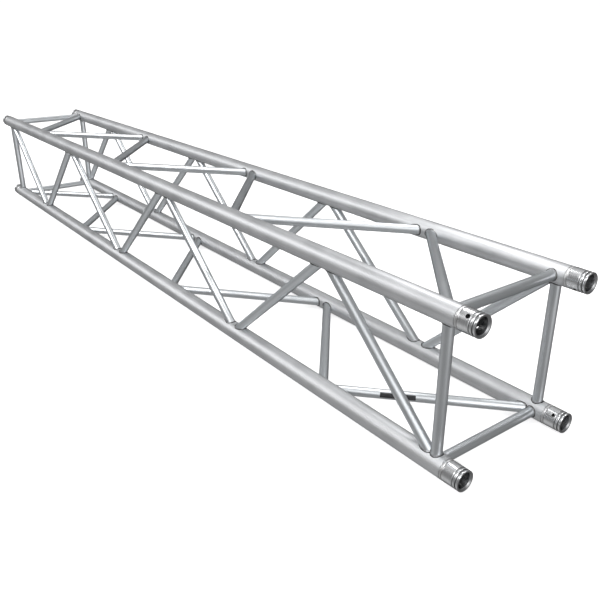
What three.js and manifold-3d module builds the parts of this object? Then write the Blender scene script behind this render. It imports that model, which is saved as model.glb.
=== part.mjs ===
// A straight section of square lighting truss in welded aluminium tube.
//
// Four chord tubes run along the corners of a square. Each side of the square is braced by a
// zigzag of seven diagonals between two square end bars. Every chord end carries a machined
// connector, spigoted into the tube and welded round, with a tapered bore for a conical coupler
// and a cross hole for its pin.
//
// Millimetres. The origin is the middle of the footprint, +X runs along the chords, +Y goes
// across to the back and +Z is up.

import * as THREE from 'three';
import { mergeVertices } from 'three/addons/utils/BufferGeometryUtils.js';
import Module from 'manifold-3d';

// Overall layout
const LENGTH = 3000; // end face to end face
const SPACING = 350; // between the centres of neighbouring chords
const CHORD_RADIUS = 25;
const CHORD_WALL = 3;
const BRACE_RADIUS = 12.5;
const BRACE_WALL = 2;
const GAP = 0.3; // left between pieces that touch

// Bracing: the end bars stand one inset from the end faces, and a diagonal runs in each panel
const END_BAR_INSET = 80.5;
const PANELS = 7;
const END_PANEL = 382; // length of the first and the last panel; the others share the rest

// Connector, as distances from its end face and radii
const END_RING_END = 5.2;
const SECOND_RING_START = 8.3;
const SECOND_RING_END = 13.5;
const SLEEVE_START = 17;
const SLEEVE_END = 43.5;
const END_GROOVE_DEPTH = 2;
const SLEEVE_GROOVE_DEPTH = 1.5;
const WELD_WIDTH = 7.5;
const WELD_FLOOR_RADIUS = 21.6; // bottom of the weld preparation, just over the spigot
const WELD_CROWN_DROP = 0.1; // the weld's crown below the tube's surface
const WELD_TOE_DROP = 0.8; // the weld's edges below it
const SPIGOT_RADIUS = 21.2;
const SPIGOT_END = 72;
const FACE_CHAMFER = 1;
const MOUTH_RADIUS = 20.5; // countersunk mouth, at the end face
const TAPER_START = 3; // depth of the countersink
const TAPER_RADIUS = 18.2;
const TAPER_END = 52;
const BORE_RADIUS = 13.5;
const PIN_HOLE_RADIUS = 5;
const PIN_HOLE_INSET = 24;

// Blank identification label, wrapped round the outward side of one bottom diagonal
const LABEL_LENGTH = 88;
const LABEL_THICKNESS = 0.6;
const LABEL_ARC = THREE.MathUtils.degToRad(60);
const LABEL_TILT = THREE.MathUtils.degToRad(16); // above the horizontal
const LABEL_CENTRE = 330; // from the diagonal's first node

// Sides of the faceted rounds. Each is a multiple of four, so that a flat faces up and down.
const CHORD_SIDES = 20;
const CONNECTOR_SIDES = 16;
const BRACE_SIDES = 12;
const PIN_HOLE_SIDES = 10;
const LABEL_STEPS = 8;

const wasm = await Module();
wasm.setup();

const extrusion = new THREE.MeshStandardMaterial({ color: 0xd3d6d8, roughness: 0.38, metalness: 1 });
const braceTube = new THREE.MeshStandardMaterial({ color: 0xbfc4c8, roughness: 0.42, metalness: 1 });
const machined = new THREE.MeshStandardMaterial({ color: 0xdcdddc, roughness: 0.25, metalness: 1 });
const weld = new THREE.MeshStandardMaterial({ color: 0xc9cacb, roughness: 0.45, metalness: 1 });
const labelFilm = new THREE.MeshStandardMaterial({ color: 0x1c1d1f, roughness: 0.5, metalness: 0 });

// ---- Shapes ----

// Radius of a polygon's corners when its flats stand at the given radius.
const cornerRadius = (flatRadius, sides) => flatRadius / Math.cos(Math.PI / sides);

// A faceted round about the local Y axis. The profile is [radius at the flats, height] pairs,
// anticlockwise round the section, and is closed here.
function turned(profile, sides) {
  const points = [...profile, profile[0]].map(
    ([radius, height]) => new THREE.Vector2(cornerRadius(radius, sides), height),
  );
  return new THREE.LatheGeometry(points, sides, Math.PI / sides, 2 * Math.PI);
}

function tube(radius, wall, length, sides) {
  const half = length / 2;
  const inner = radius - wall;
  return turned([[inner, -half], [radius, -half], [radius, half], [inner, half]], sides);
}

// A full bar about the local Y axis, used to cut other pieces.
function bar(radius, length, sides) {
  const corner = cornerRadius(radius, sides);
  return new THREE.CylinderGeometry(corner, corner, length, sides, 1, false, Math.PI / sides);
}

function toSolid(geometry) {
  const bare = geometry.clone();
  bare.deleteAttribute('normal');
  bare.deleteAttribute('uv');
  const merged = mergeVertices(bare, 1e-4);
  return new wasm.Manifold(new wasm.Mesh({
    numProp: 3,
    vertProperties: Float32Array.from(merged.attributes.position.array),
    triVerts: Uint32Array.from(merged.index.array),
  }));
}

function toGeometry(solid) {
  const mesh = solid.getMesh();
  const geometry = new THREE.BufferGeometry();
  geometry.setAttribute('position', new THREE.BufferAttribute(mesh.vertProperties, 3));
  geometry.setIndex(new THREE.BufferAttribute(mesh.triVerts, 1));
  geometry.computeVertexNormals();
  return geometry;
}

// Cuts away from a piece everything inside the cutters, all placed by their own matrices.
function cutBy(geometry, matrix, cutters) {
  const toLocal = matrix.clone().invert();
  const solid = cutters.reduce((left, cutter) => {
    const placed = cutter.geometry.clone();
    placed.applyMatrix4(toLocal.clone().multiply(cutter.matrix));
    return left.subtract(toSolid(placed));
  }, toSolid(geometry));
  return toGeometry(solid);
}

// The placement that lays the local Y axis from one point to another, about their middle.
function along(start, end) {
  const direction = end.clone().sub(start).normalize();
  const middle = start.clone().add(end).multiplyScalar(0.5);
  const sideways = new THREE.Vector3(0, 0, 1);
  const across = new THREE.Vector3().crossVectors(direction, sideways);
  return new THREE.Matrix4().makeBasis(across, direction, sideways).setPosition(middle);
}

function place(name, geometry, material, matrix) {
  const mesh = new THREE.Mesh(geometry, material.clone());
  mesh.name = name;
  matrix.decompose(mesh.position, mesh.quaternion, mesh.scale);
  return mesh;
}

// ---- One quarter of the truss ----
// It holds the top front chord, its end fittings and the bracing of the top side. The other
// three quarters are the same, turned about the middle of the section.

const half = SPACING / 2;
const chordStart = SLEEVE_END + WELD_WIDTH; // distance of the tube's end from the end face
const nodeSpan = LENGTH - 2 * END_BAR_INSET;
const innerPanel = (nodeSpan - 2 * END_PANEL) / (PANELS - 2);

// Distance along X of each bracing node, from the right end to the left.
function nodeX(index) {
  if (index === 0) return nodeSpan / 2;
  if (index === PANELS) return -nodeSpan / 2;
  return nodeSpan / 2 - END_PANEL - (index - 1) * innerPanel;
}

// The nodes of a zigzag fall by turns on the front chord and on the back chord.
const node = (index) => new THREE.Vector3(nodeX(index), index % 2 === 0 ? -half : half, half);

const chordLine = (y) => along(new THREE.Vector3(-1, y, half), new THREE.Vector3(1, y, half));
const endBarLine = (side) => along(
  new THREE.Vector3(side * nodeSpan / 2, -half, half),
  new THREE.Vector3(side * nodeSpan / 2, half, half),
);

const chordCutters = [-half, half].map((y) => ({
  geometry: bar(CHORD_RADIUS + GAP, LENGTH, CHORD_SIDES),
  matrix: chordLine(y),
}));

const endBarCutter = (side) => ({
  geometry: bar(BRACE_RADIUS + GAP, SPACING, BRACE_SIDES),
  matrix: endBarLine(side),
});

function chordGeometry() {
  return tube(CHORD_RADIUS, CHORD_WALL, LENGTH - 2 * chordStart, CHORD_SIDES);
}

function endBarGeometry(side) {
  return cutBy(tube(BRACE_RADIUS, BRACE_WALL, SPACING, BRACE_SIDES), endBarLine(side), chordCutters);
}

// The end face is at height zero and the spigot points down. The cross hole runs outwards along
// the diagonal of the section, so it leans the other way at the other end.
function connectorGeometry(side) {
  const body = turned([
    [BORE_RADIUS, -SPIGOT_END],
    [SPIGOT_RADIUS, -SPIGOT_END],
    [SPIGOT_RADIUS, -SLEEVE_END],
    [CHORD_RADIUS, -SLEEVE_END],
    [CHORD_RADIUS, -SLEEVE_START],
    [CHORD_RADIUS - SLEEVE_GROOVE_DEPTH, -SLEEVE_START],
    [CHORD_RADIUS - SLEEVE_GROOVE_DEPTH, -SECOND_RING_END],
    [CHORD_RADIUS, -SECOND_RING_END],
    [CHORD_RADIUS, -SECOND_RING_START],
    [CHORD_RADIUS - END_GROOVE_DEPTH, -SECOND_RING_START],
    [CHORD_RADIUS - END_GROOVE_DEPTH, -END_RING_END],
    [CHORD_RADIUS, -END_RING_END],
    [CHORD_RADIUS, -FACE_CHAMFER],
    [CHORD_RADIUS - FACE_CHAMFER, 0],
    [MOUTH_RADIUS, 0],
    [TAPER_RADIUS, -TAPER_START],
    [BORE_RADIUS, -TAPER_END],
  ], CONNECTOR_SIDES);
  const pinHole = bar(PIN_HOLE_RADIUS, 3 * CHORD_RADIUS, PIN_HOLE_SIDES);
  const acrossDiagonal = new THREE.Matrix4().makeRotationFromEuler(
    new THREE.Euler(0, -side * Math.PI / 4, Math.PI / 2, 'YXZ'),
  ).setPosition(0, -PIN_HOLE_INSET, 0);
  return cutBy(body, new THREE.Matrix4(), [{ geometry: pinHole, matrix: acrossDiagonal }]);
}

// A crowned ring that fills the preparation between the connector and the chord tube.
function weldRingGeometry() {
  const crown = CHORD_RADIUS - WELD_CROWN_DROP;
  const toe = CHORD_RADIUS - WELD_TOE_DROP;
  const start = SLEEVE_END + GAP;
  const end = chordStart - GAP;
  const shoulder = WELD_WIDTH / 3;
  return turned([
    [WELD_FLOOR_RADIUS, -end],
    [toe, -end],
    [crown, -end + shoulder],
    [crown, -start - shoulder],
    [toe, -start],
    [WELD_FLOOR_RADIUS, -start],
  ], CONNECTOR_SIDES);
}

function diagonalLine(panel) {
  return along(node(panel), node(panel + 1));
}

function diagonalGeometry(panel) {
  const length = node(panel).distanceTo(node(panel + 1));
  const cutters = [...chordCutters];
  if (panel === 0) cutters.push(endBarCutter(1));
  if (panel === PANELS - 1) cutters.push(endBarCutter(-1));
  return cutBy(tube(BRACE_RADIUS, BRACE_WALL, length, BRACE_SIDES), diagonalLine(panel), cutters);
}

// A thin curved plate that follows part of a diagonal's wall.
function labelGeometry() {
  const inner = cornerRadius(BRACE_RADIUS, BRACE_SIDES) + GAP;
  const outer = inner + LABEL_THICKNESS;
  const outline = new THREE.Shape();
  outline.absarc(0, 0, outer, -LABEL_ARC / 2, LABEL_ARC / 2, false);
  outline.absarc(0, 0, inner, LABEL_ARC / 2, -LABEL_ARC / 2, true);
  outline.closePath();
  return new THREE.ExtrudeGeometry(outline, {
    depth: LABEL_LENGTH,
    bevelEnabled: false,
    curveSegments: LABEL_STEPS,
  });
}

// The label faces away from the truss on a diagonal of the upside-down quarter, so it tilts the
// other way here. Its arc is about local X and its length along local Z.
function labelPlacement() {
  const start = node(0);
  const lengthwise = node(1).sub(start).normalize();
  const upwards = new THREE.Vector3(0, 0, 1);
  const level = new THREE.Vector3().crossVectors(lengthwise, upwards);
  const facing = level.multiplyScalar(Math.cos(LABEL_TILT)).addScaledVector(upwards, -Math.sin(LABEL_TILT));
  const origin = start.addScaledVector(lengthwise, LABEL_CENTRE - LABEL_LENGTH / 2);
  const around = new THREE.Vector3().crossVectors(lengthwise, facing);
  return new THREE.Matrix4().makeBasis(facing, around, lengthwise).setPosition(origin);
}

const ends = [{ name: 'right', side: 1 }, { name: 'left', side: -1 }];
const quarters = [
  { corner: 'front_top', face: 'top' },
  { corner: 'front_bottom', face: 'front' },
  { corner: 'back_bottom', face: 'bottom' },
  { corner: 'back_top', face: 'back' },
];

const shapes = {
  chord: chordGeometry(),
  weldRing: weldRingGeometry(),
  label: labelGeometry(),
  connectors: ends.map(({ side }) => connectorGeometry(side)),
  endBars: ends.map(({ side }) => endBarGeometry(side)),
  diagonals: Array.from({ length: PANELS }, (_, panel) => diagonalGeometry(panel)),
};

// End fittings stand on the chord's line with their end face outwards.
function endFitting(side) {
  const outwards = new THREE.Vector3(side, 0, 0);
  const faceCentre = new THREE.Vector3(side * LENGTH / 2, -half, half);
  return along(faceCentre.clone().sub(outwards), faceCentre.clone().add(outwards));
}

function quarter({ corner, face }, index) {
  const part = new THREE.Group();
  part.add(place(`chord_${corner}`, shapes.chord, extrusion, chordLine(-half)));
  ends.forEach(({ name, side }, end) => {
    const fitting = endFitting(side);
    part.add(place(`connector_${corner}_${name}`, shapes.connectors[end], machined, fitting));
    part.add(place(`weld_ring_${corner}_${name}`, shapes.weldRing, weld, fitting));
    part.add(place(`end_bar_${face}_${name}`, shapes.endBars[end], braceTube, endBarLine(side)));
  });
  shapes.diagonals.forEach((geometry, panel) => {
    part.add(place(`diagonal_${face}_${panel + 1}`, geometry, braceTube, diagonalLine(panel)));
  });
  if (face === 'bottom') part.add(place('identification_label', shapes.label, labelFilm, labelPlacement()));
  part.rotation.x = index * Math.PI / 2;
  return part;
}

const truss = new THREE.Group();
quarters.forEach((names, index) => truss.add(quarter(names, index)));
truss.position.z = half + CHORD_RADIUS;

const group = new THREE.Group();
group.add(truss);

export default group;
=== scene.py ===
"""The look of a square lighting truss section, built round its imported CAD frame.

Every tube, connector, ring weld and the blank label is a fine mesh of its own that stands for one
CAD node and is placed from the nodes' boxes. The fillet welds at the brace feet are added here.
Metres, in the row's frame: +X along the chords to the right end, +Y to the back, +Z up.
"""

import math

import bpy
import numpy as np
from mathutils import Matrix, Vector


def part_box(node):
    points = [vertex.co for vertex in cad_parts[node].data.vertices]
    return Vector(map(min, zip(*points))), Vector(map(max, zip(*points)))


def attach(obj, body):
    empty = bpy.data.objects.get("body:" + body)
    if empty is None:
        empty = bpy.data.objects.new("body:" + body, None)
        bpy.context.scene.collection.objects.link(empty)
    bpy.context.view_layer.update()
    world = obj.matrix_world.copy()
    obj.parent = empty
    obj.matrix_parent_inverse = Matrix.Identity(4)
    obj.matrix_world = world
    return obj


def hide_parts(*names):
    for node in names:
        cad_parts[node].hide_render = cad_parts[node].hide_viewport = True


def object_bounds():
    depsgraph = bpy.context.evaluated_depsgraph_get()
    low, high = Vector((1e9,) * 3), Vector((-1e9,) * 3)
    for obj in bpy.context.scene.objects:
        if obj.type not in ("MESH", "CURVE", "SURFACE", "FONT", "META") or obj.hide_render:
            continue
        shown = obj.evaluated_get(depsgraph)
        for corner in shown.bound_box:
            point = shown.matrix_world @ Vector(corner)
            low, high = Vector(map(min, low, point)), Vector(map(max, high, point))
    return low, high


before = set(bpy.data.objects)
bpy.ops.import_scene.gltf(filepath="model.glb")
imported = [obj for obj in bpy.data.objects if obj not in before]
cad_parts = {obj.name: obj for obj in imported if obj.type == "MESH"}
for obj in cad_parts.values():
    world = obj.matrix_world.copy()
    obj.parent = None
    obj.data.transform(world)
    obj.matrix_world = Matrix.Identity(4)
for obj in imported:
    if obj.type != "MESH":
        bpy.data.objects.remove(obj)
cad_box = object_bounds()

MM = 0.001
X_AXIS = np.array((1.0, 0.0, 0.0))
Z_AXIS = np.array((0.0, 0.0, 1.0))

# ---- Sizes ----

# Corner i carries the chord at which the zigzag of side i starts, at the right end. The zigzag
# runs back and forth between that corner and the one before it.
CORNERS = ("front_top", "front_bottom", "back_bottom", "back_top")
SIDES = ("top", "front", "bottom", "back")
ENDS = {"right": 1, "left": -1}
PANELS = 7

CHORD_WALL = 3 * MM
BRACE_WALL = 2 * MM
FIT_GAP = 0.15 * MM  # between a coped brace and what it stands on
SKIN_DROP = 0.02 * MM  # keeps the round skins inside the box of the flat-sided solids

# Connector: distances from the end face, and radii
END_RING_END = 5.2 * MM
SECOND_RING_START = 8.3 * MM
SECOND_RING_END = 13.5 * MM
SLEEVE_START = 17 * MM
SLEEVE_END = 42.9 * MM
END_GROOVE_FLOOR = 22.9 * MM
SLEEVE_GROOVE_FLOOR = 23.5 * MM
END_RING_SHOULDER = 1.5 * MM
SECOND_RING_SHOULDER = 1.3 * MM
SLEEVE_CHAMFER = 0.7 * MM
SPIGOT_END = 72 * MM
SPIGOT_RADIUS = 21.2 * MM
MOUTH_RADIUS = 21.3 * MM
TAPER_START = 3 * MM
TAPER_RADIUS = 18.2 * MM
TAPER_END = 52 * MM
BORE_RADIUS = 13.5 * MM
PIN_HOLE_OUTER_RADIUS = 4.9 * MM
PIN_HOLE_INNER_RADIUS = 4.1 * MM
PIN_HOLE_INSET = 24 * MM
PIN_HOLE_AXIS = np.array((0.0, -1.0, 1.0)) / math.sqrt(2)
PIN_HOLE_FLARE = 0.5 * MM

# Welds
RIPPLE_PITCH = 2.1 * MM
RING_WELD_FLOOR = 21.6 * MM
RING_WELD_START = SLEEVE_END + 0.9 * MM
RING_WELD_GAP = 0.1 * MM  # before the chord
RING_WELD_SINK = 0.12 * MM  # the crown below the tube's surface
RING_WELD_WANDER = 0.22 * MM
RING_WELD_RIPPLE = 0.1 * MM
FILLET_LEG = 2.6 * MM
FILLET_RISE = 0.9  # its leg up the brace as a part of its leg along the chord
FILLET_BULGE = 0.2
FILLET_RIPPLE = 0.16 * MM
FILLET_ROOT = 0.5 * MM  # how far its back is sunk into the joint

LABEL_LENGTH = 88 * MM
LABEL_ARC = math.radians(59)
LABEL_TILT = math.radians(16)
LABEL_LIFT = 0.12 * MM
LABEL_THICKNESS = 0.35 * MM
LABEL_CORNER = 1.5 * MM

# Mesh fineness
CHORD_SEGMENTS = 128
BRACE_SEGMENTS = 72
CONNECTOR_SEGMENTS = 128
PIN_HOLE_SEGMENTS = 48
FILLET_STEPS = 180
RING_WELD_STEPS = 320
LABEL_ROWS = 25
LABEL_COLUMNS = 9


def corner_line(corner):
    """The middle of a chord tube's box, and its radius."""
    low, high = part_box(f"chord_{corner}")
    return (low + high) / 2, (high.z - low.z) / 2


CHORD_RADIUS = corner_line(CORNERS[0])[1] - SKIN_DROP
CHORD_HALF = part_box("chord_front_top")[1].x
HALF_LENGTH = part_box("connector_front_top_right")[1].x


def box_centre(node):
    low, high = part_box(node)
    return (low + high) / 2


def box_size(node):
    low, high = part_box(node)
    return high - low


BRACE_RADIUS = box_size("end_bar_top_right").x / 2


def node_places():
    """How far along the truss each bracing node is, from the right end to the left."""
    middles = [box_centre(f"diagonal_top_{i}").x for i in range(2, PANELS)]
    pitch = middles[0] - middles[1]
    inner = [middles[0] + pitch / 2 - pitch * i for i in range(PANELS - 1)]
    return [box_centre("end_bar_top_right").x, *inner, box_centre("end_bar_top_left").x]


NODE_X = node_places()


# ---- Lines of round bars ----


class Bar:
    """A round bar's centre line and radius, used to cope the tubes that stand on it."""

    def __init__(self, point, direction, radius):
        self.point = np.array(point, float)
        self.direction = np.array(direction, float)
        self.direction /= np.linalg.norm(self.direction)
        self.radius = radius

    def across(self, vectors):
        """The part of each vector that is square to the bar."""
        return vectors - np.outer(vectors @ self.direction, self.direction)

    def exits(self, points, direction):
        """How far along a direction each point is from leaving the bar, or -1 where it misses."""
        offset = self.across(points - self.point)
        step = self.across(direction[None, :])[0]
        a = step @ step
        b = 2 * offset @ step
        c = (offset * offset).sum(1) - self.radius**2
        inside = b * b - 4 * a * c
        roots = (-b + np.sqrt(np.maximum(inside, 0))) / (2 * a)
        return np.where(inside < 0, -1.0, roots)

    def normals(self, points):
        offset = self.across(points - self.point)
        return offset / np.linalg.norm(offset, axis=1)[:, None]

    def onto(self, points):
        """Each point moved straight onto the bar's surface."""
        away = np.linalg.norm(self.across(points - self.point), axis=1)
        return points + self.normals(points) * (self.radius - away)[:, None]


def chord_bar(corner):
    return Bar(corner_line(corner)[0], (1, 0, 0), CHORD_RADIUS)


def chord_point(corner, x):
    centre = corner_line(corner)[0]
    return np.array((x, centre.y, centre.z))


def side_corners(side):
    """The corner at which a side's zigzag starts, and the one across from it."""
    start = SIDES.index(side)
    return CORNERS[start], CORNERS[start - 1]


def brace_node(side, index):
    """Where a side's bracing node number index is, on one of that side's two chords."""
    return chord_point(side_corners(side)[index % 2], NODE_X[index])


def end_bar_nodes(side, end):
    x = NODE_X[0] if end == "right" else NODE_X[-1]
    return [chord_point(corner, x) for corner in side_corners(side)]


def end_bar_line(side, end):
    first, last = end_bar_nodes(side, end)
    return Bar(first, last - first, BRACE_RADIUS)


# ---- Meshes ----


def grid_faces(rows, columns):
    """Quads of a grid of points that closes on itself both ways."""
    row = np.arange(rows)[:, None]
    column = np.arange(columns)[None, :]
    after_row = (row + 1) % rows
    after_column = (column + 1) % columns
    corners = (row * columns + column, after_row * columns + column,
               after_row * columns + after_column, row * columns + after_column)
    return np.stack([np.broadcast_to(c, (rows, columns)) for c in corners], -1).reshape(-1, 4)


def signed_volume(points, faces):
    a, b, c, d = (points[faces[:, i]] for i in range(4))
    return np.einsum("ij,ij->", a, np.cross(b, c)) + np.einsum("ij,ij->", a, np.cross(c, d))


def closed_grid(rings):
    """Points and outward quads of a ring-shaped body, from its rows of points."""
    rows, columns, _ = rings.shape
    points = rings.reshape(-1, 3)
    faces = grid_faces(rows, columns)
    centred = points - points.mean(0)
    if signed_volume(centred, faces) < 0:
        faces = faces[:, ::-1]
    return points, faces


def plain_object(name, points, faces):
    mesh = bpy.data.meshes.new(name)
    mesh.from_pydata([tuple(p) for p in points], [], [tuple(int(i) for i in f) for f in faces])
    thing = bpy.data.objects.new(name, mesh)
    bpy.context.scene.collection.objects.link(thing)
    return thing


def make_piece(name, points, faces, material, local=None, axis=None, bead=None, painted_light=None, sharp=40):
    """A smooth-shaded mesh. local is each point's place along and across its tube, axis is the
    tube's direction, bead is each point's place along and across its weld, and the next argument
    gives the level of painted shade and painted highlight on the metal there."""
    piece = plain_object(name, points, faces)
    mesh = piece.data
    for key, values in (("tube_place", local), ("tube_axis", axis), ("bead_place", bead)):
        if values is not None:
            layer = mesh.attributes.new(key, "FLOAT_VECTOR", "POINT")
            everywhere = np.broadcast_to(values, points.shape).astype(np.float32)
            layer.data.foreach_set("vector", everywhere.ravel())
    if painted_light is not None:
        layer = mesh.attributes.new("painted_light_level", "FLOAT", "POINT")
        layer.data.foreach_set("value", painted_light.astype(np.float32))
    mesh.materials.append(material)
    mesh.shade_smooth()
    mesh.set_sharp_from_angle(angle=math.radians(sharp))
    mesh.update()
    return piece


def install(piece, slot, *replaced):
    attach(piece, "root")
    for node in replaced:
        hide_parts(node)


def square_frame(direction):
    """Two unit vectors square to a direction and to each other."""
    direction = direction / np.linalg.norm(direction)
    helper = Z_AXIS if abs(direction[2]) < 0.9 else X_AXIS
    first = np.cross(helper, direction)
    first /= np.linalg.norm(first)
    return first, np.cross(direction, first)


def circle(first, second, radius, count):
    turn = np.arange(count) * 2 * np.pi / count
    return radius * (np.cos(turn)[:, None] * first + np.sin(turn)[:, None] * second)


def coped_end(start, direction, ring, bars):
    """Where each line of a tube's wall leaves the bars it stands on, and which bar that is."""
    lines = start + ring
    exits = np.stack([bar.exits(lines, direction) for bar in bars])
    return lines + exits.max(0)[:, None] * direction, exits.argmax(0)


def grown(bars, gap):
    return [Bar(bar.point, bar.direction, bar.radius + gap) for bar in bars]


def tube_local(points, origin, direction, seed):
    """Each point's place in its tube: along it, then across it both ways."""
    first, second = square_frame(direction)
    offset = points - origin
    along = offset @ (direction / np.linalg.norm(direction)) + seed
    return np.stack([along, offset @ first, offset @ second], 1)


def coped_tube(name, start, end, start_bars, end_bars, material, seed):
    """A hollow brace whose ends follow the round bars that they stand on."""
    direction = (end - start) / np.linalg.norm(end - start)
    first, second = square_frame(direction)
    rings = []
    for radius in (BRACE_RADIUS, BRACE_RADIUS - BRACE_WALL):
        ring = circle(first, second, radius, BRACE_SEGMENTS)
        near = coped_end(start, direction, ring, grown(start_bars, FIT_GAP))[0]
        far = coped_end(end, -direction, ring, grown(end_bars, FIT_GAP))[0]
        rings += [near, far] if radius == BRACE_RADIUS else [far, near]
    points, faces = closed_grid(np.stack(rings))
    return make_piece(name, points, faces, material, tube_local(points, start, direction, seed), direction)


def fillet_weld(start, end, bars, seed):
    """A rippled fillet bead round the foot of a brace: its points, faces and bead places."""
    direction = (end - start) / np.linalg.norm(end - start)
    first, second = square_frame(direction)
    ring = circle(first, second, BRACE_RADIUS, FILLET_STEPS)
    foot, which = coped_end(start, direction, ring, bars)
    brace = Bar(start, direction, BRACE_RADIUS)
    wall = brace.normals(foot)
    stood_on = np.stack([bar.normals(foot) for bar in bars])[which, np.arange(FILLET_STEPS)]
    slant = (wall * stood_on).sum(1)[:, None]
    outwards = wall - slant * stood_on
    upwards = stood_on - slant * wall
    outwards /= np.linalg.norm(outwards, axis=1)[:, None]
    upwards /= np.linalg.norm(upwards, axis=1)[:, None]

    step = np.linalg.norm(np.roll(foot, -1, 0) - foot, axis=1)
    run = np.concatenate([[0], np.cumsum(step)[:-1]])
    turn = run / step.sum() * 2 * np.pi
    ripples = max(1, round(step.sum() / RIPPLE_PITCH))
    wobble = 1 + 0.07 * np.sin(5 * turn + seed) + 0.05 * np.sin(11 * turn + 2.3 * seed)
    leg = (FILLET_LEG * wobble)[:, None]

    toe_low = foot + outwards * leg
    for number, bar in enumerate(bars):
        chosen = which == number
        toe_low[chosen] = bar.onto(toe_low[chosen])
    toe_high = brace.onto(foot + upwards * leg * FILLET_RISE)
    middle = (toe_low + toe_high) / 2
    bulge = middle + (middle - foot) * FILLET_BULGE
    rows, places = [], []
    for across in np.linspace(0, 1, 7):
        arc = (1 - across) ** 2 * toe_low + 2 * across * (1 - across) * bulge + across**2 * toe_high
        crest = 4 * across * (1 - across)
        phase = ripples * turn + 1.6 * (2 * across - 1) ** 2
        height = FILLET_RIPPLE * crest * np.sin(phase)
        rows.append(arc + (outwards + upwards) * height[:, None])
        places.append(np.stack([run + seed, np.full_like(run, 2 * across - 1), np.sin(phase)], 1))
    rows.append(foot - (wall + stood_on) * FILLET_ROOT)
    places.append(np.stack([run + seed, np.ones_like(run), np.zeros_like(run)], 1))
    points, faces = closed_grid(np.stack(rows))
    return points, faces, np.concatenate(places)


def joined(bodies):
    """Several separate bodies' points, faces and places as one list each."""
    points = np.concatenate([body[0] for body in bodies])
    counts = np.cumsum([0] + [len(body[0]) for body in bodies[:-1]])
    faces = np.concatenate([body[1] + count for body, count in zip(bodies, counts)])
    return points, faces, np.concatenate([body[2] for body in bodies])


# ---- Connector and ring weld ----


def softened(profile):
    """A closed outline of (depth, radius, corner round) with each corner cut back to a curve."""
    points = []
    count = len(profile)
    for index, (depth, radius, cut) in enumerate(profile):
        here = np.array((depth, radius))
        if cut == 0:
            points.append(here)
            continue
        ends = []
        for other in (profile[index - 1], profile[(index + 1) % count]):
            away = np.array(other[:2]) - here
            ends.append(here + away / np.linalg.norm(away) * min(cut, np.linalg.norm(away) / 2))
        for t in (0, 0.33, 0.67, 1):
            points.append((1 - t) ** 2 * ends[0] + 2 * t * (1 - t) * here + t**2 * ends[1])
    return np.array(points)


def crowned(start, end, drop, first=-1.0):
    """Points over a flat-topped ring with rounded shoulders of height drop, as outline corners."""
    turns = np.linspace(first, 1, 15) * math.pi / 2 * 0.98
    middle, half = (start + end) / 2, (end - start) / 2
    foot = CHORD_RADIUS - drop
    return [(middle + half * math.sin(t), foot + drop * math.cos(t) ** 0.5, 0) for t in turns]


def connector_outline():
    """The connector's section, from the end face round the outside to the spigot and back up
    the bore."""
    fine = 0.25 * MM
    soft = 0.5 * MM
    skin = CHORD_RADIUS
    end_ring = crowned(-0.3 * MM, END_RING_END, END_RING_SHOULDER, -0.72)
    end_ring[0] = (0, end_ring[0][1], fine)
    outer = [
        *end_ring,
        (END_RING_END, END_GROOVE_FLOOR, fine),
        (SECOND_RING_START, END_GROOVE_FLOOR, fine),
        *crowned(SECOND_RING_START, SECOND_RING_END, SECOND_RING_SHOULDER),
        (SECOND_RING_END, SLEEVE_GROOVE_FLOOR, fine),
        (SLEEVE_START - SLEEVE_CHAMFER, SLEEVE_GROOVE_FLOOR, fine),
        (SLEEVE_START, skin, fine),
    ]
    length = SLEEVE_END - SLEEVE_START
    sleeve = [(SLEEVE_START + length * t, skin, 0) for t in np.linspace(0.08, 0.92, 14)]
    inner = [
        (SLEEVE_END, skin, soft),
        (SLEEVE_END + 0.5 * MM, skin - 1.0 * MM, 0),
        (SLEEVE_END + 0.8 * MM, SPIGOT_RADIUS, 0),
        (SPIGOT_END, SPIGOT_RADIUS, soft),
        (SPIGOT_END, BORE_RADIUS, soft),
        (TAPER_END, BORE_RADIUS, 0),
        (TAPER_START + 22 * MM, TAPER_RADIUS - 2.1 * MM, 0),
        (TAPER_START, TAPER_RADIUS, soft),
        (0.9 * MM, MOUTH_RADIUS - 1.3 * MM, soft),
        (0, MOUTH_RADIUS, fine),
    ]
    return softened(outer + sleeve + inner)


def connector_painted_light(points):
    """Painted light as a level: bright on the turned skin, painted shade in the grooves, darker on
    the end face, painted shade down the bore and in the cross hole, and a painted highlight round
    the lip where the taper starts."""
    depth = points[:, 0]
    radius = np.hypot(points[:, 1], points[:, 2])
    # Painted shade in the grooves, rising to full brightness just under the turned skin.
    heights = [END_GROOVE_FLOOR, SLEEVE_GROOVE_FLOOR, CHORD_RADIUS - 0.6 * MM]
    painted_light = np.interp(radius, heights, [0.3, 0.45, 1.0])
    face = (depth < 0.2 * MM) & (radius > TAPER_RADIUS)
    painted_light[face] = 0.5
    # Painted shade down the bore, with a painted highlight round the lip where the taper starts.
    inside = (radius < MOUTH_RADIUS - 0.2 * MM) & ~face
    stations = [0, TAPER_START - 0.6 * MM, TAPER_START, TAPER_START + 1.2 * MM, 30 * MM]
    painted_light[inside] = np.interp(depth[inside], stations, [0.4, 0.4, 1.0, 0.6, 0.45])
    # Painted shade in the cross hole.
    offset = points - PIN_HOLE_INSET * X_AXIS
    from_axis = np.linalg.norm(offset - np.outer(offset @ PIN_HOLE_AXIS, PIN_HOLE_AXIS), axis=1)
    hole = (from_axis < PIN_HOLE_OUTER_RADIUS + 0.1 * MM) & (radius < CHORD_RADIUS - 0.1 * MM)
    painted_light[hole] = 0.06
    return painted_light


def revolved(outline, segments):
    """Rings of a body turned from an outline, with x the depth below its end face."""
    turn = np.arange(segments) * 2 * np.pi / segments
    rings = np.empty((len(outline), segments, 3))
    rings[:, :, 0] = outline[:, 0][:, None]
    rings[:, :, 1] = outline[:, 1][:, None] * np.cos(turn)
    rings[:, :, 2] = outline[:, 1][:, None] * np.sin(turn)
    return rings


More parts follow.
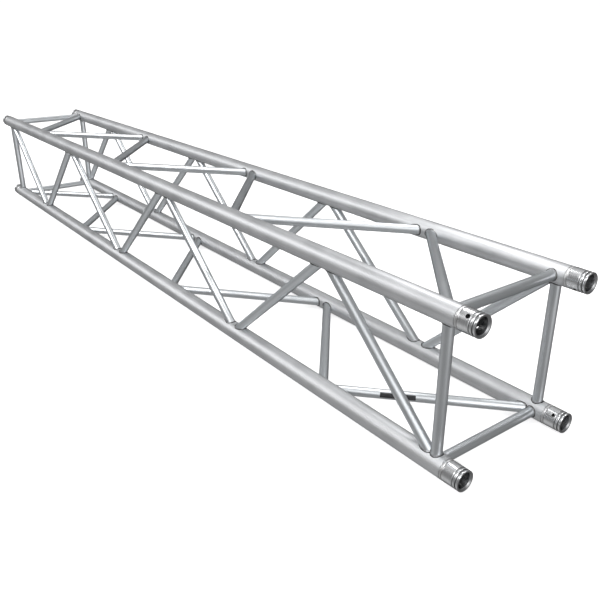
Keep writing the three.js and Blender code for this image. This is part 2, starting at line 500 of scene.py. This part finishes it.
def pin_hole_cutter():
    """A slightly tapered bar across the connector, flared where it breaks the outer skin."""
    reach = CHORD_RADIUS * 1.2
    skin = CHORD_RADIUS - PIN_HOLE_FLARE
    flare = reach - skin
    stations = [(-reach, PIN_HOLE_INNER_RADIUS + flare), (-skin, PIN_HOLE_INNER_RADIUS),
                (skin, PIN_HOLE_OUTER_RADIUS), (reach, PIN_HOLE_OUTER_RADIUS + flare)]
    count = PIN_HOLE_SEGMENTS
    first, second = square_frame(PIN_HOLE_AXIS)
    points = np.concatenate([PIN_HOLE_INSET * X_AXIS + PIN_HOLE_AXIS * place
                             + circle(first, second, radius, count) for place, radius in stations])
    faces = []
    for row in range(len(stations) - 1):
        for i in range(count):
            j = (i + 1) % count
            faces.append((row * count + i, row * count + j, (row + 1) * count + j, (row + 1) * count + i))
    faces.append(tuple(range(count))[::-1])
    faces.append(tuple(range((len(stations) - 1) * count, len(stations) * count)))
    return plain_object("pin_hole_cutter", points, faces)


def connector_body():
    """Points and faces of a connector with its cross hole cut, x being the depth below its face."""
    points, faces = closed_grid(revolved(connector_outline(), CONNECTOR_SEGMENTS))
    blank = plain_object("connector_blank", points, faces)
    cutter = pin_hole_cutter()
    cut = blank.modifiers.new("cross_hole", "BOOLEAN")
    cut.operation = "DIFFERENCE"
    cut.solver = "EXACT"
    cut.object = cutter
    bpy.context.view_layer.update()
    depsgraph = bpy.context.evaluated_depsgraph_get()
    result = bpy.data.meshes.new_from_object(blank.evaluated_get(depsgraph))
    points = np.array([v.co for v in result.vertices])
    faces = [tuple(p.vertices) for p in result.polygons]
    for thing in (blank, cutter):
        bpy.data.objects.remove(thing)
    return points, faces


def to_corner(points, corner, end):
    """Moves points from depth below the end face and offsets from the chord's centre line, as at
    the front top corner, to a corner and an end of the truss. Returns them and whether the move
    mirrors them."""
    side = ENDS[end]
    turn = CORNERS.index(corner) * math.pi / 2
    centre = corner_line(corner)[0]
    moved = np.empty_like(points)
    moved[:, 0] = side * (HALF_LENGTH - points[:, 0])
    moved[:, 1] = centre.y + points[:, 1] * math.cos(turn) - points[:, 2] * math.sin(turn)
    moved[:, 2] = centre.z + points[:, 1] * math.sin(turn) + points[:, 2] * math.cos(turn)
    return moved, side > 0


def ring_weld_rings(seed):
    """Rows of a crowned, rippled weld bead that fills the joint between connector and chord."""
    chord_end = HALF_LENGTH - CHORD_HALF
    start = RING_WELD_START
    end = chord_end - RING_WELD_GAP
    turn = np.arange(RING_WELD_STEPS) * 2 * np.pi / RING_WELD_STEPS
    ripples = round(2 * np.pi * CHORD_RADIUS / RIPPLE_PITCH)
    rows, places = [], []

    def add(depth, radius, across, height):
        rows.append(np.stack([depth, radius * np.cos(turn), radius * np.sin(turn)], 1))
        places.append(np.stack([turn * CHORD_RADIUS + seed, np.full_like(turn, across), height], 1))

    flat = np.zeros_like(turn)
    wander = RING_WELD_WANDER * (np.sin(3 * turn + seed) + 0.6 * np.sin(8 * turn + 2 * seed))
    for across in np.linspace(-1, 1, 13):
        phase = ripples * turn + 2.0 * across**2
        crown = 0.55 * MM * across**4 + 0.22 * MM * across**2
        height = np.sin(phase) * (1 - across**2)
        radius = CHORD_RADIUS - RING_WELD_SINK - crown + RING_WELD_RIPPLE * height
        depth = (start + end) / 2 + across * (end - start) / 2 + wander * (1 - across**2)
        add(depth, radius, across, height)
    add(flat + end, RING_WELD_FLOOR + flat, 1, flat)
    add(flat + start, RING_WELD_FLOOR + flat, -1, flat)
    return np.stack(rows), np.concatenate(places)


# ---- Materials ----


# Where a Mix node has its two colours and its result
MIX_FIRST = 6
MIX_SECOND = 7
MIX_RESULT = 2


class Graph:
    """Short calls for building a material's nodes."""

    def __init__(self, name):
        self.material = bpy.data.materials.new(name)
        self.material.use_nodes = True
        self.tree = self.material.node_tree
        self.shader = self.tree.nodes["Principled BSDF"]

    def node(self, kind, **settings):
        made = self.tree.nodes.new(kind)
        for key, value in settings.items():
            setattr(made, key, value)
        return made

    def link(self, source, target):
        self.tree.links.new(source, target)

    def attribute(self, name):
        return self.node("ShaderNodeAttribute", attribute_name=name).outputs["Vector"]

    def stretched(self, vector, scale):
        mapping = self.node("ShaderNodeMapping")
        mapping.inputs["Scale"].default_value = scale
        self.link(vector, mapping.inputs["Vector"])
        return mapping.outputs["Vector"]

    def noise(self, vector, scale, detail=2.0):
        made = self.node("ShaderNodeTexNoise")
        made.inputs["Scale"].default_value = scale
        made.inputs["Detail"].default_value = detail
        self.link(vector, made.inputs["Vector"])
        return made.outputs["Fac"]

    def spread(self, value, low, high, to_low, to_high):
        made = self.node("ShaderNodeMapRange")
        limits = {"From Min": low, "From Max": high, "To Min": to_low, "To Max": to_high}
        for key, number in limits.items():
            made.inputs[key].default_value = number
        self.link(value, made.inputs["Value"])
        return made.outputs["Result"]

    def maths(self, operation, first, second):
        made = self.node("ShaderNodeMath", operation=operation)
        for socket, value in zip(made.inputs, (first, second)):
            if isinstance(value, (int, float)):
                socket.default_value = value
            else:
                self.link(value, socket)
        return made.outputs[0]

    def blend(self, factor, first, second):
        """A colour that runs from first, or from the colour of a socket, to second as factor goes
        from 0 to 1."""
        made = self.node("ShaderNodeMix", data_type="RGBA")
        self.link(factor, made.inputs["Factor"])
        if isinstance(first, bpy.types.NodeSocket):
            self.link(first, made.inputs[MIX_FIRST])
        else:
            made.inputs[MIX_FIRST].default_value = (*first, 1)
        made.inputs[MIX_SECOND].default_value = (*second, 1)
        return made.outputs[MIX_RESULT]

    def bump(self, height, strength, distance, below=None):
        made = self.node("ShaderNodeBump")
        made.inputs["Strength"].default_value = strength
        made.inputs["Distance"].default_value = distance
        self.link(height, made.inputs["Height"])
        if below is not None:
            self.link(below, made.inputs["Normal"])
        return made.outputs["Normal"]

    def square_to_axis(self):
        """The direction round the tube at each point."""
        normal = self.node("ShaderNodeNewGeometry").outputs["Normal"]
        cross = self.node("ShaderNodeVectorMath", operation="CROSS_PRODUCT")
        self.link(self.attribute("tube_axis"), cross.inputs[0])
        self.link(normal, cross.inputs[1])
        return cross.outputs["Vector"]


    def make_metal(self):
        self.shader.inputs["Metallic"].default_value = 1.0
        self.shader.inputs["Specular Tint"].default_value = (EDGE_TONE, EDGE_TONE, EDGE_TONE, 1)


EDGE_TONE = 0.3  # how much of its shine the oxide film leaves at a glancing angle
# Colour of the painted shade at the weld toes
PAINTED_TOE_SHADE = (0.015, 0.015, 0.016)
BORE_SHADE = (0.02, 0.02, 0.021)


def extruded_aluminium(name, colour, dull, roughness, stretch):
    """Mill-finish tube: die lines along it, faint cloudy patches and a few handling marks."""
    g = Graph(name)
    place = g.attribute("tube_place")
    lines = g.noise(g.stretched(place, (1.2, 700, 700)), 1.0, 3.0)
    broad_lines = g.noise(g.stretched(place, (0.8, 160, 160)), 1.0, 2.0)
    clouds = g.noise(place, 14.0, 3.0)
    marks = g.noise(g.stretched(place, (40, 420, 420)), 1.0, 4.0)
    tone = g.maths("ADD", g.maths("MULTIPLY", clouds, 0.5), g.maths("MULTIPLY", broad_lines, 0.5))
    g.link(g.blend(g.spread(tone, 0.35, 0.65, 0, 1), dull, colour), g.shader.inputs["Base Color"])
    rough = g.maths("ADD", g.spread(clouds, 0.3, 0.7, roughness - 0.03, roughness + 0.03),
                    g.spread(lines, 0.3, 0.7, -0.03, 0.03))
    scuffed = g.maths("ADD", rough, g.spread(marks, 0.68, 0.8, 0, 0.1))
    g.link(scuffed, g.shader.inputs["Roughness"])
    grain = g.bump(lines, 0.2, 0.00003)
    g.link(g.bump(broad_lines, 0.2, 0.00008, grain), g.shader.inputs["Normal"])
    g.make_metal()
    g.shader.inputs["Anisotropic"].default_value = stretch
    g.link(g.square_to_axis(), g.shader.inputs["Tangent"])
    return g.material


def turned_aluminium():
    """Bright turned connector: fine tool marks round it, light scuffs, and painted shade in the
    grooves, bore and cross hole, with a painted highlight at the bore's lip.
    """
    g = Graph("turned_aluminium")
    place = g.attribute("tube_place")
    tool_marks = g.noise(g.stretched(place, (2600, 6, 6)), 1.0, 3.0)
    wide_marks = g.noise(g.stretched(place, (420, 3, 3)), 1.0, 1.0)
    scuffs = g.noise(place, 220.0, 5.0)
    painted_light = g.node("ShaderNodeAttribute", attribute_name="painted_light_level").outputs["Fac"]
    # The level of painted shade and painted highlight, with the wide tool marks' tone, takes the colour
    # from the painted bore shade to bright metal.
    painted_light_and_tool_marks = g.maths("MULTIPLY", painted_light, g.spread(wide_marks, 0.3, 0.7, 0.84, 1.0))
    g.link(g.blend(painted_light_and_tool_marks, BORE_SHADE, (0.93, 0.94, 0.955)), g.shader.inputs["Base Color"])
    rough = g.maths("ADD", g.spread(tool_marks, 0.3, 0.7, 0.15, 0.23),
                    g.spread(scuffs, 0.55, 0.75, 0, 0.1))
    g.link(g.maths("ADD", rough, g.spread(painted_light, 0.2, 0.8, 0.28, 0)), g.shader.inputs["Roughness"])
    grain = g.bump(tool_marks, 0.4, 0.00002)
    g.link(g.bump(wide_marks, 0.3, 0.00004, grain), g.shader.inputs["Normal"])
    g.make_metal()
    return g.material


def weld_aluminium(name, colour, dark_from, dark_by):
    """Weld metal, matt between its ripples, with painted shade towards its toes: towards the one at -1
    from dark_from to dark_by, and a little at the other one."""
    g = Graph(name)
    place = g.attribute("bead_place")
    parts = g.node("ShaderNodeSeparateXYZ")
    g.link(place, parts.inputs["Vector"])
    # Painted shade in the crease at each toe: strong at the one at -1, faint at the other.
    near_toe = g.spread(parts.outputs["Y"], dark_from, dark_by, 0, 1)
    far_toe = g.spread(parts.outputs["Y"], 0.7, 1.0, 0, 0.7)
    toe_shade = g.maths("MAXIMUM", near_toe, far_toe)
    grit = g.noise(g.stretched(place, (1500, 3, 1)), 1.0, 4.0)
    metal = g.blend(grit, [tone * 0.86 for tone in colour], colour)
    g.link(g.blend(toe_shade, metal, PAINTED_TOE_SHADE), g.shader.inputs["Base Color"])
    g.link(g.maths("ADD", g.spread(grit, 0.3, 0.7, 0.28, 0.42), g.maths("MULTIPLY", toe_shade, 0.25)),
           g.shader.inputs["Roughness"])
    g.link(g.bump(grit, 0.3, 0.0001), g.shader.inputs["Normal"])
    g.make_metal()
    return g.material


def label_film():
    """Blank dark printed film with a slight sheen and rubbed patches."""
    g = Graph("label_film")
    place = g.attribute("tube_place")
    rub = g.noise(g.stretched(place, (60, 240, 240)), 1.0, 4.0)
    g.link(g.blend(g.spread(rub, 0.45, 0.75, 0, 1), (0.012, 0.012, 0.014), (0.05, 0.05, 0.054)),
           g.shader.inputs["Base Color"])
    g.link(g.spread(rub, 0.35, 0.7, 0.34, 0.52), g.shader.inputs["Roughness"])
    g.link(g.bump(g.noise(place, 900.0, 2.0), 0.15, 0.00005), g.shader.inputs["Normal"])
    return g.material


def pale_floor_material():
    g = Graph("pale_floor")
    place = g.node("ShaderNodeTexCoord").outputs["Object"]
    g.link(g.blend(g.noise(place, 3.0, 2.0), (0.86, 0.86, 0.86), (0.9, 0.9, 0.9)),
           g.shader.inputs["Base Color"])
    g.shader.inputs["Roughness"].default_value = 0.9
    g.shader.inputs["Emission Color"].default_value = (1, 1, 1, 1)
    g.shader.inputs["Emission Strength"].default_value = FLOOR_GLOW
    return g.material


# ---- The truss ----


def build_chords(material):
    for number, corner in enumerate(CORNERS):
        centre = corner_line(corner)[0]
        first, second = square_frame(X_AXIS)
        rings = []
        for radius, ends in ((CHORD_RADIUS, (-1, 1)), (CHORD_RADIUS - CHORD_WALL, (1, -1))):
            ring = circle(first, second, radius, CHORD_SEGMENTS)
            for end in ends:
                rings.append(ring + np.array((end * CHORD_HALF, centre.y, centre.z)))
        points, faces = closed_grid(np.stack(rings))
        local = tube_local(points, np.array(centre), X_AXIS, 7.0 * number)
        piece = make_piece(f"chord_tube_{corner}", points, faces, material, local, X_AXIS)
        install(piece, "chord_tube", f"chord_{corner}")


def build_connectors(material, weld_material):
    body_points, body_faces = connector_body()
    # The connector's painted shade and painted highlight, as a level at each point.
    painted_light = connector_painted_light(body_points)
    for end in ENDS:
        for number, corner in enumerate(CORNERS):
            points, mirrored = to_corner(body_points, corner, end)
            faces = [face[::-1] for face in body_faces] if mirrored else body_faces
            local = body_points + np.array((3.0 * number + 0.7 * ENDS[end], 0, 0))
            piece = make_piece(f"turned_connector_{corner}_{end}", points, faces, material, local, X_AXIS,
                               painted_light=painted_light, sharp=30)
            install(piece, "connector", f"connector_{corner}_{end}")

            rings, places = ring_weld_rings(1.3 * number + ENDS[end])
            rows, columns, _ = rings.shape
            moved = to_corner(rings.reshape(-1, 3), corner, end)[0]
            points, faces = closed_grid(moved.reshape(rows, columns, 3))
            piece = make_piece(f"ring_bead_{corner}_{end}", points, faces, weld_material,
                               bead=places, sharp=60)
            install(piece, "weld", f"weld_ring_{corner}_{end}")


def build_bracing(material, weld_material):
    for number, side in enumerate(SIDES):
        chords = [chord_bar(corner) for corner in side_corners(side)]
        beads = []
        for end in ENDS:
            first, last = end_bar_nodes(side, end)
            seed = 2.0 * number + 0.5 * ENDS[end]
            name = f"end_tube_{side}_{end}"
            piece = coped_tube(name, first, last, [chords[0]], [chords[1]], material, seed)
            install(piece, "brace_tube", f"end_bar_{side}_{end}")
            beads.append(fillet_weld(first, last, [chords[0]], seed))
            beads.append(fillet_weld(last, first, [chords[1]], seed + 1))
        for index in range(PANELS):
            start, finish = brace_node(side, index), brace_node(side, index + 1)
            start_bars = [chords[index % 2]]
            finish_bars = [chords[(index + 1) % 2]]
            if index == 0:
                start_bars.append(end_bar_line(side, "right"))
            if index == PANELS - 1:
                finish_bars.append(end_bar_line(side, "left"))
            seed = 11.0 * number + 1.9 * index
            name = f"diagonal_tube_{side}_{index + 1}"
            piece = coped_tube(name, start, finish, start_bars, finish_bars, material, seed)
            install(piece, "brace_tube", f"diagonal_{side}_{index + 1}")
            beads.append(fillet_weld(start, finish, start_bars, seed))
            beads.append(fillet_weld(finish, start, finish_bars, seed + 0.6))
        points, faces, places = joined(beads)
        piece = make_piece(f"fillet_beads_{side}", points, faces, weld_material, bead=places, sharp=60)
        install(piece, "weld")


def plate(top, bottom):
    """Points and faces of a thin body between two matching grids of points."""
    rows, columns, _ = top.shape
    size = rows * columns
    edge = [(0, j) for j in range(columns)]
    edge += [(i, columns - 1) for i in range(1, rows)]
    edge += [(rows - 1, j) for j in range(columns - 2, -1, -1)]
    edge += [(i, 0) for i in range(rows - 2, 0, -1)]
    faces = []
    for i in range(rows - 1):
        for j in range(columns - 1):
            here, below = i * columns + j, (i + 1) * columns + j
            quad = [here, here + 1, below + 1, below]
            faces += [quad, [size + point for point in reversed(quad)]]
    for (i, j), (k, m) in zip(edge, edge[1:] + edge[:1]):
        here, after = i * columns + j, k * columns + m
        faces.append([after, here, size + here, size + after])
    points = np.concatenate([top.reshape(-1, 3), bottom.reshape(-1, 3)])
    faces = np.array(faces)
    if signed_volume(points - points.mean(0), faces) < 0:
        faces = faces[:, ::-1]
    return points, faces


def build_label(material):
    """A thin curved plate with rounded corners on the outward side of a bottom diagonal."""
    start, finish = brace_node("bottom", 0), brace_node("bottom", 1)
    direction = (finish - start) / np.linalg.norm(finish - start)
    level = np.cross(Z_AXIS, direction)
    facing = level * math.cos(LABEL_TILT) + Z_AXIS * math.sin(LABEL_TILT)
    around = np.cross(direction, facing)
    middle = (np.array(box_centre("identification_label")) - start) @ direction
    inner = BRACE_RADIUS + LABEL_LIFT
    half_width = inner * LABEL_ARC / 2
    grids = []
    for radius in (inner + LABEL_THICKNESS, inner):
        rows = []
        for across in np.linspace(-half_width, half_width, LABEL_ROWS):
            into_corner = max(0.0, abs(across) - half_width + LABEL_CORNER)
            cut = LABEL_CORNER - math.sqrt(LABEL_CORNER**2 - into_corner**2)
            along = np.linspace(-1, 1, LABEL_COLUMNS)[:, None] * (LABEL_LENGTH / 2 - cut) + middle
            angle = across / inner
            outward = math.cos(angle) * facing + math.sin(angle) * around
            rows.append(start + along * direction + radius * outward)
        grids.append(np.stack(rows))
    points, faces = plate(*grids)
    local = tube_local(points, start, direction, 0)
    piece = make_piece("blank_label", points, faces, material, local, direction)
    install(piece, "label", "identification_label")


# ---- Studio ----

FLOOR_GLOW = 0.62
FLOOR_HALF = 40.0
FLOOR_DROP = 0.5 * MM  # below the truss
WALL_GLOW = 1.05
BACKDROP_RADIUS = 30.0
BACKDROP_HEIGHT = 25.0
CAMERA_PLACE = (2.2082, -1.1301, 0.9228)
CAMERA_AZIMUTH = math.radians(53.01)
CAMERA_ELEVATION = math.radians(23.435)
CAMERA_LENS = 41.305

# Brightness of the room by the sine of the elevation: floor, up to the horizon, ceiling
ROOM_TONES = ((-1.0, 0.3), (-0.3, 0.2), (0.3, 0.19), (0.6, 0.1), (1.0, 0.05))
DARKEST_TONE = 0.02
# Soft lights, as azimuth and elevation in degrees, tightness and strength
SOFT_LIGHTS = (
    (-98, 50, 70, 12),  # key light, high in front
    (-30, 29, 11, 2.3),  # broad light at the right front
    (-148, 24, 60, 4),  # low light at the left front
    (99, 62, 160, 7),  # small light, high at the back
    (-140, 74, 17, 0.75),  # overhead fill
    (134, 50, 3.3, 0.45),  # wide fill at the back
    (-140, -45, 12, 0.25),  # bounce off the floor
    (0, 0, 26, 2.4),  # level light at the right end
    (180, -5, 20, 0.5),  # level fill at the left end
    (127, -24, 6, -0.12),  # dark screen at the back, which takes light away
)
OVERHEAD_PLACE = (0.78, 0.19, 1.25)
OVERHEAD_SIZE = 0.26
OVERHEAD_POWER = 2.4


def build_world():
    world = bpy.data.worlds.new("soft_studio")
    bpy.context.scene.world = world
    world.use_nodes = True
    tree = world.node_tree
    tree.nodes.clear()

    def node(kind, **settings):
        made = tree.nodes.new(kind)
        for key, value in settings.items():
            setattr(made, key, value)
        return made

    def maths(operation, first, second=0.0):
        made = node("ShaderNodeMath", operation=operation)
        for socket, value in zip(made.inputs, (first, second)):
            if isinstance(value, (int, float)):
                socket.default_value = value
            else:
                tree.links.new(value, socket)
        return made.outputs[0]

    direction = node("ShaderNodeTexCoord").outputs["Generated"]
    parts = node("ShaderNodeSeparateXYZ")
    tree.links.new(direction, parts.inputs["Vector"])
    ramp = node("ShaderNodeValToRGB")
    elements = ramp.color_ramp.elements
    while len(elements) < len(ROOM_TONES):
        elements.new(0.5)
    for element, (sine, tone) in zip(elements, ROOM_TONES):
        element.position = (sine + 1) / 2
        element.color = (tone, tone, tone, 1)
    tree.links.new(maths("MULTIPLY", maths("ADD", parts.outputs["Z"], 1), 0.5), ramp.inputs["Fac"])
    total = ramp.outputs["Color"]
    for azimuth, elevation, tightness, strength in SOFT_LIGHTS:
        across, up = math.radians(azimuth), math.radians(elevation)
        toward = (math.cos(up) * math.cos(across), math.cos(up) * math.sin(across), math.sin(up))
        dot = node("ShaderNodeVectorMath", operation="DOT_PRODUCT")
        dot.inputs[1].default_value = toward
        tree.links.new(direction, dot.inputs[0])
        behind = maths("SUBTRACT", dot.outputs["Value"], 1)
        fall = maths("EXPONENT", maths("MULTIPLY", behind, tightness))
        total = maths("ADD", total, maths("MULTIPLY", fall, strength))
    background = node("ShaderNodeBackground")
    tree.links.new(maths("MAXIMUM", total, DARKEST_TONE), background.inputs["Color"])
    output = node("ShaderNodeOutputWorld")
    tree.links.new(background.outputs["Background"], output.inputs["Surface"])


def build_overhead_light():
    """A small soft light over the right half of the truss, facing down."""
    data = bpy.data.lights.new("overhead", "AREA")
    data.shape = "DISK"
    data.size = OVERHEAD_SIZE
    data.energy = OVERHEAD_POWER
    light = bpy.data.objects.new("overhead", data)
    light.location = OVERHEAD_PLACE
    bpy.context.scene.collection.objects.link(light)


def build_floor():
    points = np.array([(-1, -1, 0), (1, -1, 0), (1, 1, 0), (-1, 1, 0)]) * FLOOR_HALF
    points[:, 2] = cad_box[0][2] - FLOOR_DROP
    floor = plain_object("pale_floor", points, [(0, 1, 2, 3)])
    floor.data.materials.append(pale_floor_material())
    floor.visible_glossy = False


def build_backdrop():
    """A pale wall all round, far off, that is only seen and doesn't shade anything."""
    count = 64
    ring = circle(*square_frame(Z_AXIS), BACKDROP_RADIUS, count)
    points = np.concatenate([ring - (0, 0, 1.0), ring + (0, 0, BACKDROP_HEIGHT)])
    faces = [(i, (i + 1) % count, count + (i + 1) % count, count + i) for i in range(count)]
    wall = plain_object("pale_backdrop", points, faces)
    g = Graph("pale_backdrop")
    g.shader.inputs["Base Color"].default_value = (0, 0, 0, 1)
    g.shader.inputs["Specular IOR Level"].default_value = 0
    g.shader.inputs["Emission Color"].default_value = (1, 1, 1, 1)
    g.shader.inputs["Emission Strength"].default_value = WALL_GLOW
    wall.data.materials.append(g.material)
    wall.visible_glossy = False
    wall.visible_diffuse = False
    wall.visible_shadow = False
    wall.visible_transmission = False


def build_camera():
    data = bpy.data.cameras.new("camera")
    data.lens = CAMERA_LENS
    data.sensor_width = 36
    data.clip_end = 200
    camera = bpy.data.objects.new("camera", data)
    bpy.context.scene.collection.objects.link(camera)
    camera.location = CAMERA_PLACE
    camera.rotation_euler = (math.pi / 2 - CAMERA_ELEVATION, 0, CAMERA_AZIMUTH)
    bpy.context.scene.camera = camera


def set_colours():
    scene = bpy.context.scene
    scene.view_settings.view_transform = "Standard"
    scene.view_settings.look = "None"


build_camera()
chord_metal = extruded_aluminium("chord_aluminium", (0.83, 0.84, 0.855), (0.69, 0.7, 0.715), 0.48, 0.2)
brace_metal = extruded_aluminium("brace_aluminium", (0.86, 0.89, 0.915), (0.81, 0.84, 0.865), 0.34, 0.5)
build_chords(chord_metal)
build_connectors(turned_aluminium(), weld_aluminium("ring_weld", (0.84, 0.84, 0.845), -0.7, -1.1))
build_bracing(brace_metal, weld_aluminium("foot_weld", (0.42, 0.425, 0.435), 0.3, -0.4))
build_label(label_film())
build_floor()
build_backdrop()
build_world()
build_overhead_light()
set_colours()
